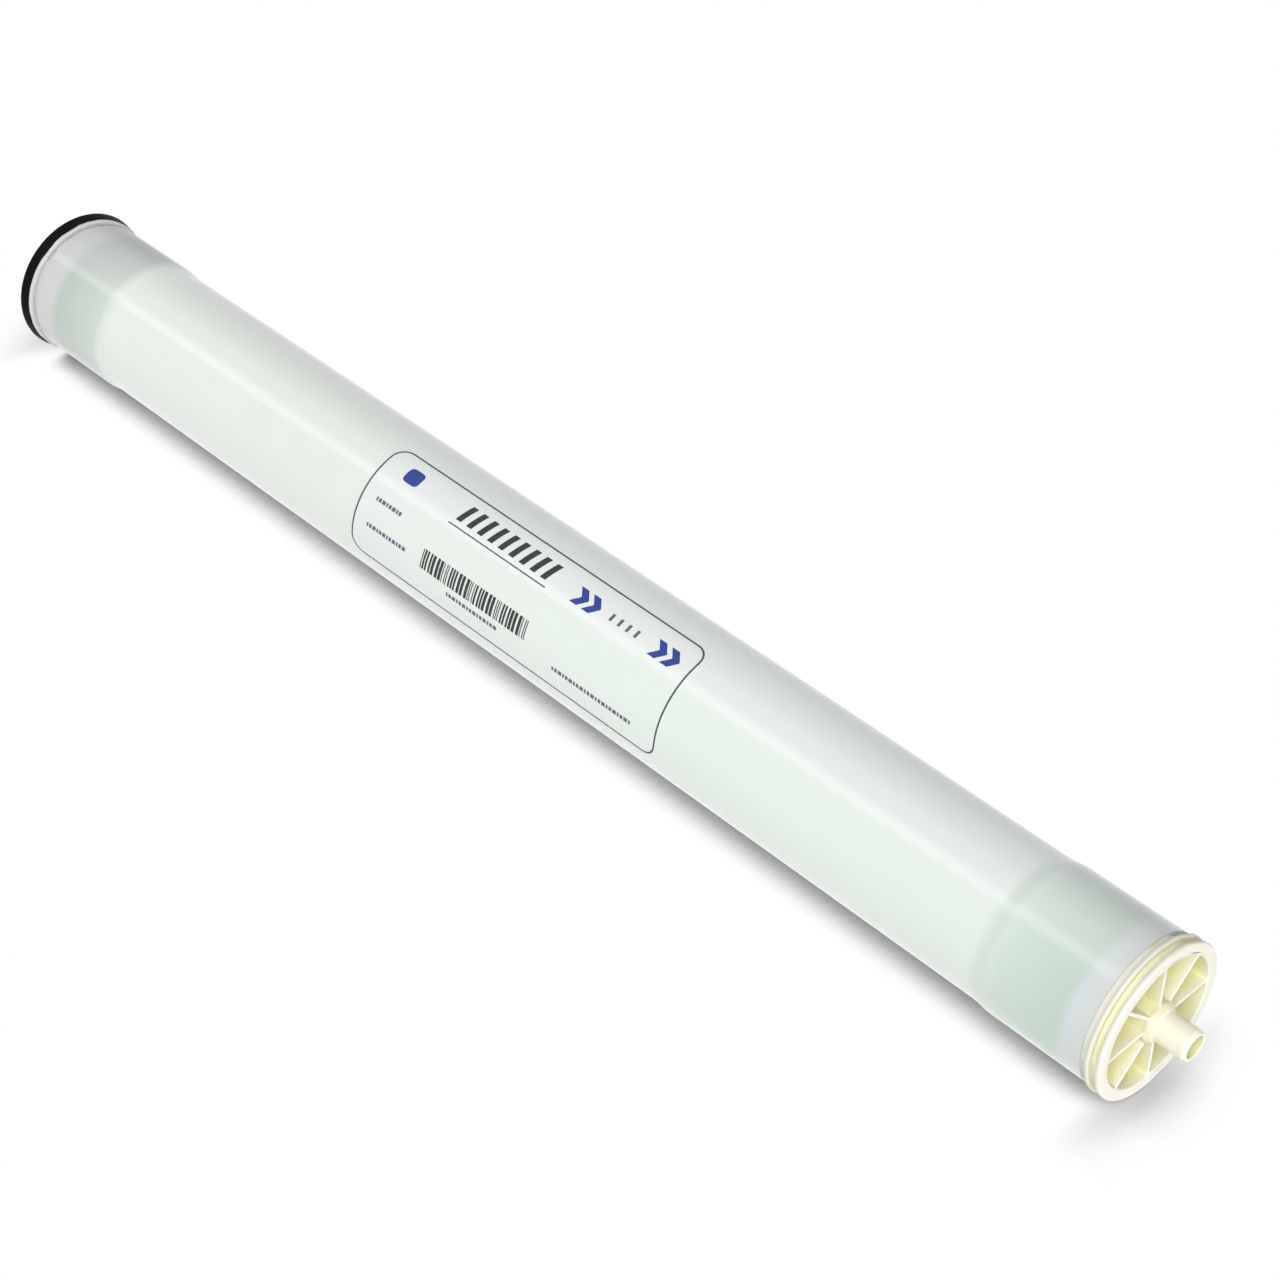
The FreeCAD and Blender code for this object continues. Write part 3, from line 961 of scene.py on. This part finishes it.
rubber = bpy.data.materials.new("black_rubber")
tree = new_tree(rubber)
place = place_on(tree)
finish_surface(
    tree,
    {
        "Base Color": blend(tree, grain(tree, place, 200), SEAL_BLACK, SEAL_BLOOM),
        "Roughness": 0.34 + grain(tree, place, 150) * 0.12,
        "Specular IOR Level": 0.03,
        "Normal": bumped(tree, grain(tree, place, 700), 0.00005),
    },
)
seal = turned(
    "brine_seal_ring",
    eased(
        [
            (seal_back, SKIRT_R + CLEARANCE, 0.3 * MM),
            (seal_back, rim_r - CLEARANCE, 0.6 * MM),
            (seal_tip, seal_r, 0.35 * MM),
            (seal_tip, seal_r - LIP_THICKNESS, 0.35 * MM),
            (seal_front, rim_r + LIP_FOOT_HEIGHT, 0.1 * MM),
            (seal_front, SKIRT_R + CLEARANCE, 0.3 * MM),
        ]
    ),
    around(SEAL_SIDES),
)
seal.data.materials.append(rubber)
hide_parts("brine_seal")
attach(seal, "root")


# Label: one printed film sheet laid round the upper front of the wrap, with round corners. Its
# plain marks are raised ink: a line round the edge, a badge, slanted strokes with a line under
# them, chevrons, ticks, bars and dashes.
LABEL_ARC = (88, 190)
LABEL_CORNER = 12 * MM
ARC_STEP = 1
SHEET_HEIGHT = 0.2 * MM
INK_DEPTH = 0.05 * MM
INK_HEIGHT = 0.04 * MM
FRAME_INSET = 1.2 * MM
FRAME_LINE = 1.25 * MM
FRAME_STEP = 1 * MM
STRIP_SIDES = ((0, 1), (1, 3), (3, 2), (2, 0))
SLATE_INK = (0.06, 0.065, 0.11, 1)
BLUE_INK = (0.015, 0.045, 0.30, 1)
DARK_INK = (0.02, 0.025, 0.023, 1)
PALE_INK = (0.12, 0.125, 0.20, 1)
LABEL_WHITE = (0.84, 0.86, 0.85, 1)

label_low, label_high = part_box("label")
label_back = label_low.x
label_front = label_high.x
label_low_r = wrap_r + CLEARANCE
label_r = wrap_r + SHEET_HEIGHT
ink_low_r = label_r - INK_DEPTH
ink_r = label_r + INK_HEIGHT


def arc_length(degrees):
    """The length on the sheet of an arc in degrees."""
    return math.radians(degrees) * label_r


def strip(start, end, edges, step=ARC_STEP):
    """Rows across a mark from one arc to another. Edges gives its two stations at an arc."""
    steps = max(2, math.ceil((end - start) / step))
    arcs = [start + (end - start) * i / steps for i in range(steps + 1)]
    return [(arc, *edges(arc)) for arc in arcs]


def laid(name, strips, low_r, high_r, look):
    """Thin closed sheets laid round the element, one for each strip, as one piece."""
    vertices, faces = [], []
    for rows in strips:
        first = len(vertices)
        for arc, back, front in rows:
            vertices += [from_bearing(x, r, arc) for r in (low_r, high_r) for x in (back, front)]
        for here in range(first, len(vertices) - 4, 4):
            for a, b in STRIP_SIDES:
                faces.append((here + a, here + b, here + 4 + b, here + 4 + a))
        last = len(vertices) - 4
        faces += [(first, first + 2, first + 3, first + 1), (last, last + 1, last + 3, last + 2)]
    made = new_piece(name, vertices, faces)
    made.data.materials.append(look)
    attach(made, "root")
    return made


def round_cornered(start, end, back, front, corner):
    """Rows of a sheet with round corners."""

    def edges(arc):
        to_edge = min(arc_length(arc - start), arc_length(end - arc))
        cut = max(corner - to_edge, 0)
        inset = corner - math.sqrt(corner * corner - cut * cut)
        return back + inset, front - inset

    return strip(start, end, edges)


def straight(start, end, back, front):
    """Rows of a mark whose back and front run round the element."""
    return strip(start, end, lambda arc: (back, front))


label_film = bpy.data.materials.new("label_film")
tree = new_tree(label_film)
place = place_on(tree)
clouds = grain(tree, place, 25)
# The sheet takes the film's colour, with its painted sheen, table light and shade.
finish_film(tree, place, blend(tree, clouds * 0.5, film_colour(tree, place), LABEL_WHITE))
sheet = laid(
    "label_sheet",
    [round_cornered(*LABEL_ARC, label_back, label_front, LABEL_CORNER)],
    label_low_r,
    label_r,
    label_film,
)
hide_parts("label")


def ink(name, colour):
    """A printing ink, a little thin and uneven where it lies on the film."""
    material = bpy.data.materials.new(name)
    tree = new_tree(material)
    place = place_on(tree)
    thin = grain(tree, place, 900) * 0.06
    finish_surface(
        tree,
        {
            "Base Color": blend(tree, thin, colour, LABEL_WHITE),
            "Roughness": 0.3 + grain(tree, place, 300) * 0.1,
            "Specular IOR Level": 0.15,
        },
    )
    return material


slate_ink = ink("slate_ink", SLATE_INK)
blue_ink = ink("blue_ink", BLUE_INK)
dark_ink = ink("dark_ink", DARK_INK)
pale_ink = ink("pale_ink", PALE_INK)


def printed(name, strips, look):
    """Marks in ink on the label, as one piece."""
    return laid(name, strips, ink_low_r, ink_r, look)


def frame_edge(inset):
    """An edge of the line round the label, this far in from the sheet's own edge."""
    low, high = (arc_length(arc) for arc in LABEL_ARC)
    back, front = label_back + inset, label_front - inset
    bottom, top = low + inset, high - inset
    corners = ((back, bottom), (front, bottom), (front, top), (back, top))
    return eased([(x, s, LABEL_CORNER - inset) for x, s in corners])


def frame_line():
    """The line round the label, as the vertices and faces of one mesh."""
    outer, inner = frame_edge(FRAME_INSET), frame_edge(FRAME_INSET + FRAME_LINE)
    pairs = []
    for i, (out, into) in enumerate(zip(outer, inner)):
        next_out = outer[(i + 1) % len(outer)]
        next_into = inner[(i + 1) % len(inner)]
        steps = math.ceil((next_out - out).length / FRAME_STEP)
        for k in range(steps):
            pairs.append((out.lerp(next_out, k / steps), into.lerp(next_into, k / steps)))
    vertices, faces = [], []
    for pair in pairs:
        for r in (ink_low_r, ink_r):
            vertices += [from_bearing(p.x, r, math.degrees(p.y / label_r)) for p in pair]
    for i in range(len(pairs)):
        here, on = 4 * i, 4 * ((i + 1) % len(pairs))
        for a, b in STRIP_SIDES:
            faces.append((here + a, here + b, on + b, on + a))
    return vertices, faces


line = new_piece("label_frame_line", *frame_line())
line.data.materials.append(slate_ink)
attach(line, "root")

BADGE_MIDDLE_X = -99.5 * MM
BADGE_MIDDLE_ARC = 107.5
BADGE_HALF_LENGTH = 6.75 * MM
BADGE_HALF_ARC = 7.0
BADGE_POWER = 4
BADGE_LEAST_WIDTH = 0.01 * MM
BADGE_STEP = 0.2


def badge_edges(arc):
    """A shape between a round and a square."""
    across = min(abs(arc - BADGE_MIDDLE_ARC) / BADGE_HALF_ARC, 1)
    half = BADGE_HALF_LENGTH * (1 - across**BADGE_POWER) ** (1 / BADGE_POWER)
    return BADGE_MIDDLE_X - half, BADGE_MIDDLE_X + half + BADGE_LEAST_WIDTH


badge_ends = (BADGE_MIDDLE_ARC - BADGE_HALF_ARC, BADGE_MIDDLE_ARC + BADGE_HALF_ARC)
printed("label_badge", [strip(*badge_ends, badge_edges, BADGE_STEP)], blue_ink)

STROKE_FROM_X = -53 * MM
STROKE_PITCH = 9.6 * MM
STROKE_WIDTH = 4.6 * MM
STROKE_LEAN = 3.2 * MM
STROKE_ARC = (99.5, 116)
STROKES = 9


def stroke(number):
    """Rows of one of the slanted strokes, counted from the feed side."""

    def edges(arc):
        rise = (STROKE_ARC[1] - arc) / (STROKE_ARC[1] - STROKE_ARC[0])
        back = STROKE_FROM_X + STROKE_PITCH * number + STROKE_LEAN * rise
        return back, back + STROKE_WIDTH

    return strip(*STROKE_ARC, edges)


printed("label_strokes", [stroke(number) for number in range(STROKES)], dark_ink)

CHEVRON_FROM_X = (51.3 * MM, 61.8 * MM, 117.8 * MM, 128.3 * MM)
CHEVRON_ARC = (103.5, 118.5)
CHEVRON_TIP = 5.6 * MM
CHEVRON_WIDTH = 6.2 * MM


def chevron(back_x):
    """Rows of one arrow head that points to the outlet end."""
    middle = sum(CHEVRON_ARC) / 2
    half = middle - CHEVRON_ARC[0]

    def edges(arc):
        back = back_x + CHEVRON_TIP * (1 - abs(arc - middle) / half)
        return back, back + CHEVRON_WIDTH

    return strip(*CHEVRON_ARC, edges)


printed("label_chevrons", [chevron(x) for x in CHEVRON_FROM_X], blue_ink)

UNDERLINE_ARC = (120.2, 121.3)
UNDERLINE_X = (-56 * MM, 32 * MM)
TICKS_X = (82 * MM, 89 * MM, 96 * MM, 103 * MM)
TICK_ARC = (107.5, 114)
TICK_WIDTH = 2.2 * MM
printed("label_underline", [straight(*UNDERLINE_ARC, *UNDERLINE_X)], slate_ink)
printed("label_ticks", [straight(*TICK_ARC, x, x + TICK_WIDTH) for x in TICKS_X], pale_ink)

BARS_FROM_X = -61 * MM
BARS_TO_X = 37 * MM
BARS_ARC = (148, 164)
BAR_UNIT = 0.78 * MM


def bars():
    """Upright bars of one to three units and gaps of one or two, by a plain rule."""
    x = BARS_FROM_X
    number = 0
    while x < BARS_TO_X - 3 * BAR_UNIT:
        wide = BAR_UNIT * (1 + (number * number + number // 3) % 3)
        yield straight(*BARS_ARC, x, x + wide)
        x += wide + BAR_UNIT * (1 + number * 2 % 5 // 3)
        number += 1


printed("label_bars", list(bars()), dark_ink)

DASH = 1.5 * MM
DASH_GAP = 0.9 * MM
DASH_HEIGHT = 3.2
# Each line of dashes is its arc in degrees, and its two ends in millimetres.
DASH_LINES = ((135.5, -113, -90), (157.5, -113, -77.5), (168.5, 61, 129), (169, -35, 12))


def dashes(arc, start, end):
    """A line of short and long dashes, where small print would be."""
    x = start * MM
    number = 0
    while x < end * MM - DASH:
        length = DASH * (1 + number % 3 * 0.5)
        yield straight(arc, arc + DASH_HEIGHT, x, x + length)
        x += length + DASH_GAP
        number += 1


printed("label_dashes", [dash for line in DASH_LINES for dash in dashes(*line)], pale_ink)
